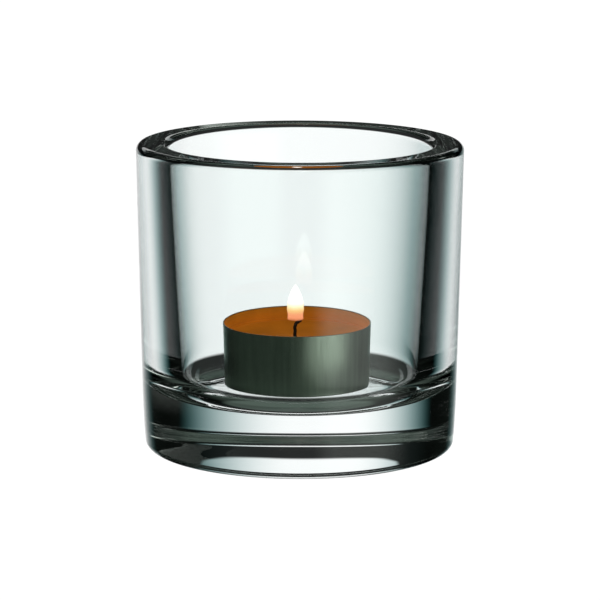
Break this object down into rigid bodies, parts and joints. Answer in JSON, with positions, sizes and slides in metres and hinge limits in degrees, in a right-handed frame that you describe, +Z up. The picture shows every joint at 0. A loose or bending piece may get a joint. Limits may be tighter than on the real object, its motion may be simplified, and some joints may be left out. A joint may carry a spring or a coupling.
{
  "type": "tealight holder",
  "caption": "Round thick-walled glass holder with a heavy solid base, holding a lit tealight in a thin aluminium cup.",
  "frame": {"origin": "centre of the ring on the glass's underside that it stands on", "axes": "+Z up along the glass's axis of revolution; +X to the right and -Y towards the viewer, the side the wick's tip bends to being +X"},
  "size_m": [0.0847, 0.0848, 0.08],
  "materials": {
    "clear_glass": "clear pressed glass with a faint green tint, fire-polished rim",
    "cup_aluminium": "thin drawn sheet, satin with fine upright draw marks",
    "amber_wax": "honey-amber wax, glossy where molten",
    "plated_steel": "tin-plated stamped sheet",
    "charred_cotton": "braided cotton, charred black where it stands out of the wax"
  },
  "bodies": {
    "holder": {"glass_body": "clear_glass"},
    "tealight": {"tealight_cup": "cup_aluminium"},
    "candle": {"wax": "amber_wax", "wick_sustainer": "plated_steel", "wick": "charred_cotton"}
  },
  "joints": [
    {"name": "tealight_lift", "type": "slide", "parent": "holder", "child": "tealight", "axis": [0, 0, 1], "range_m": [0, 0.07]},
    {"name": "candle_lift", "type": "slide", "parent": "tealight", "child": "candle", "axis": [0, 0, 1], "range_m": [0, 0.024]}
  ]
}
